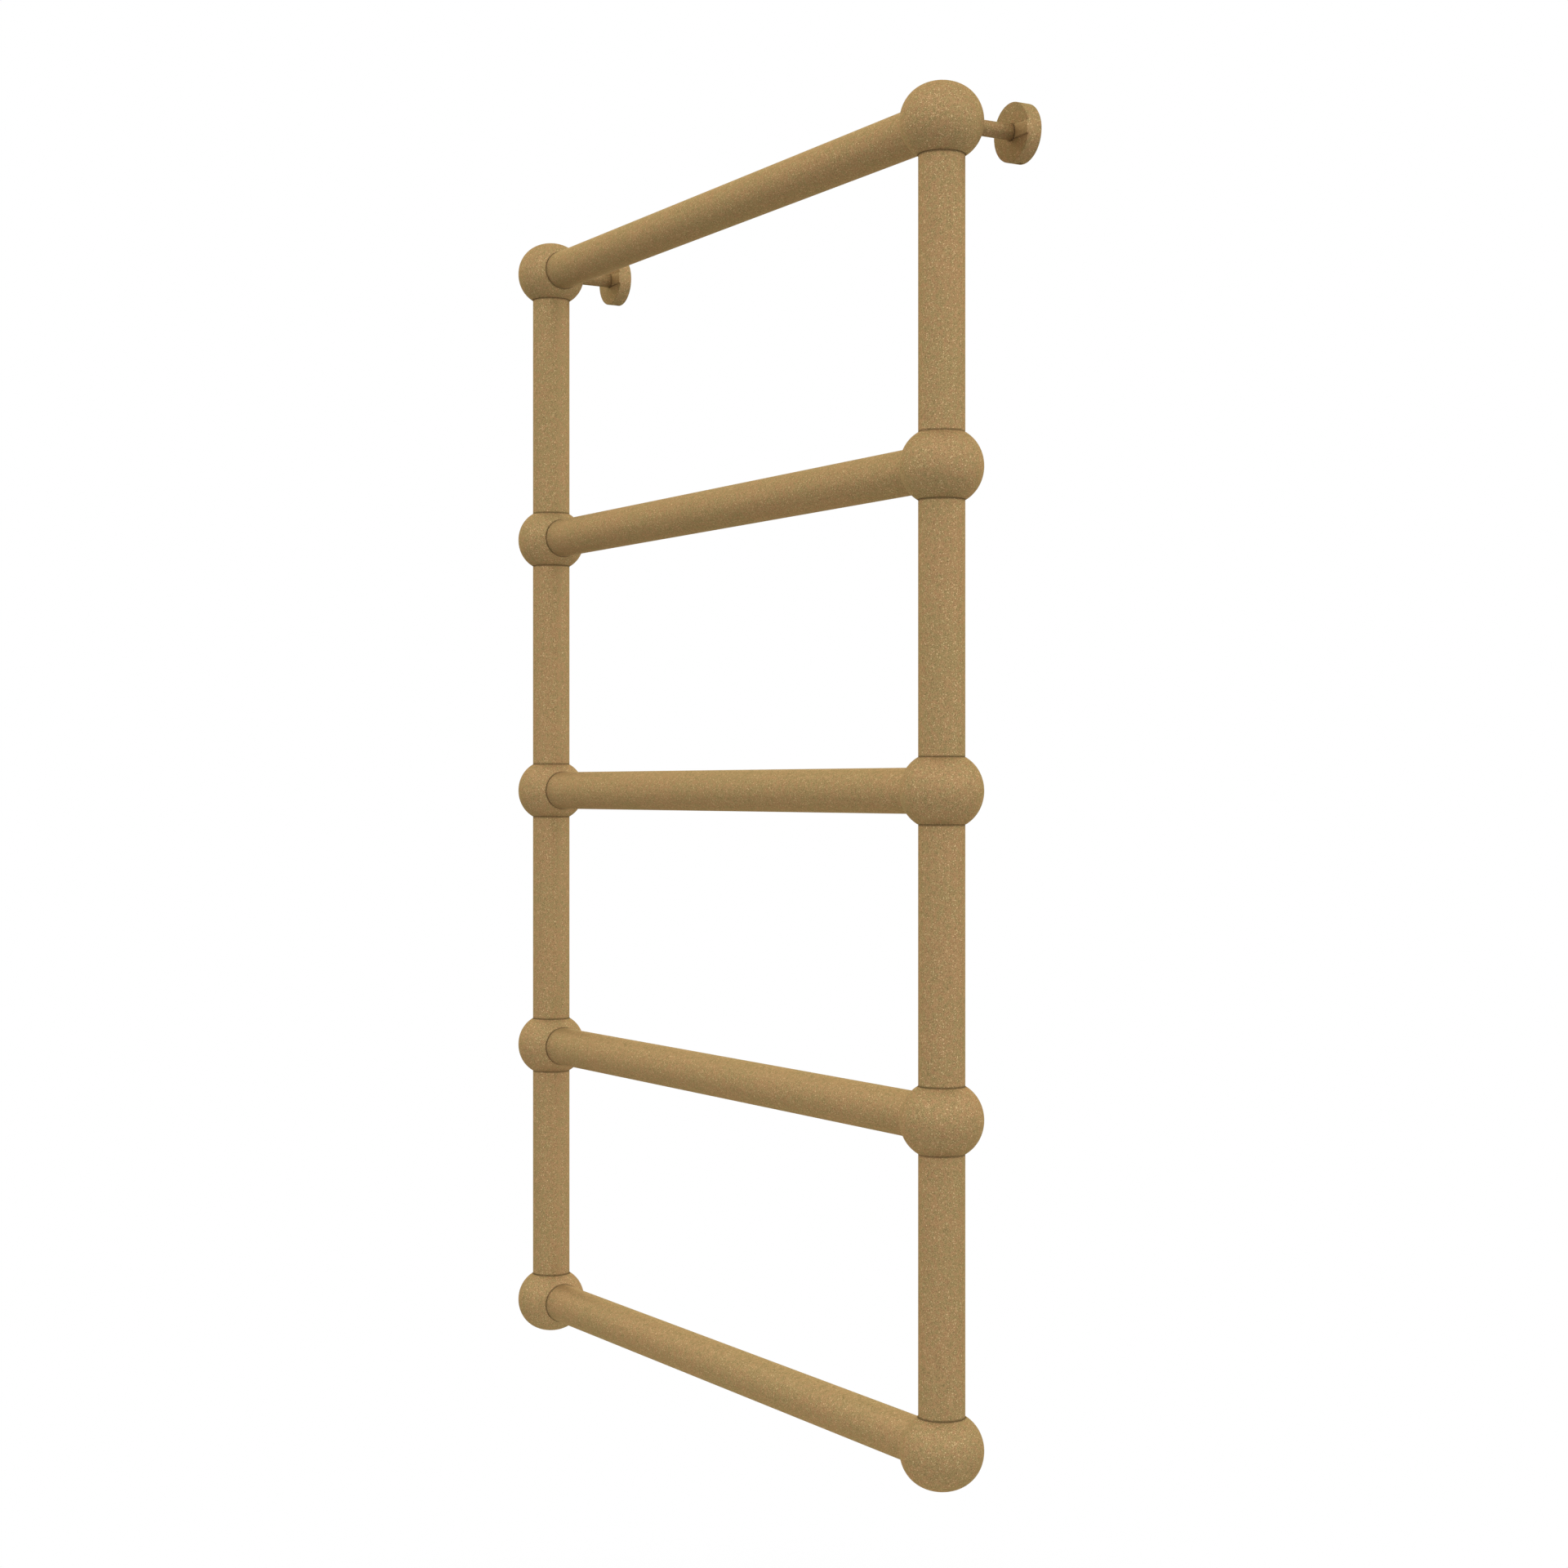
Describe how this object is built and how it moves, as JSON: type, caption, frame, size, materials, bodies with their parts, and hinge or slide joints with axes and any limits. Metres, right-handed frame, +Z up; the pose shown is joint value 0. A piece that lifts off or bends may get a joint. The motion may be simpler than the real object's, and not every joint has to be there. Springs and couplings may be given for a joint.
{
  "type": "towel warmer rack",
  "caption": "Wall-mounted ladder rack of brass tubes joined by balls, with level rungs for towels, held off the wall by two thin standoffs on round roses.",
  "frame": {"origin": "on the wall, midway between the two roses and level with the top rung", "axes": "+X along the rungs towards the right post, +Y into the wall, +Z up"},
  "size_m": [0.6668, 0.0966, 0.9485],
  "materials": {
    "ball": "satin aged brass, fine grain",
    "post_tube": "satin aged brass, fine grain",
    "rung_tube": "satin aged brass, fine grain",
    "standoff": "satin aged brass, fine grain",
    "rose": "satin aged brass, fine grain",
    "bracket": "zinc-plated, dull",
    "nut": "turned brass",
    "grub_screw": "toned like the rose it sits in",
    "heating_cable": "silicone sheath",
    "supply_lead": "silicone sheath",
    "joint_sleeve": "heat-shrunk sleeve",
    "end_cap": "moulded silicone"
  },
  "bodies": {
    "root": {"ball_joint_left_1": "ball", "ball_joint_left_2": "ball", "ball_joint_left_3": "ball", "ball_joint_left_4": "ball", "ball_joint_left_5": "ball", "ball_joint_right_1": "ball", "ball_joint_right_2": "ball", "ball_joint_right_3": "ball", "ball_joint_right_4": "ball", "ball_joint_right_5": "ball", "post_tube_left_1": "post_tube", "post_tube_left_2": "post_tube", "post_tube_left_3": "post_tube", "post_tube_left_4": "post_tube", "post_tube_right_1": "post_tube", "post_tube_right_2": "post_tube", "post_tube_right_3": "post_tube", "post_tube_right_4": "post_tube", "rung_tube_1": "rung_tube", "rung_tube_2": "rung_tube", "rung_tube_3": "rung_tube", "rung_tube_4": "rung_tube", "rung_tube_5": "rung_tube", "standoff_left": "standoff", "standoff_right": "standoff", "wall_rose_left": "rose", "wall_rose_right": "rose", "wall_bracket_left": "bracket", "wall_bracket_right": "bracket", "standoff_nut_left": "nut", "standoff_nut_right": "nut", "rose_grub_screw_left": "grub_screw", "rose_grub_screw_right": "grub_screw", "heating_cable": "heating_cable", "cable_joint_sleeve": "joint_sleeve", "cable_end_cap": "end_cap", "supply_lead": "supply_lead"}
  },
  "joints": []
}
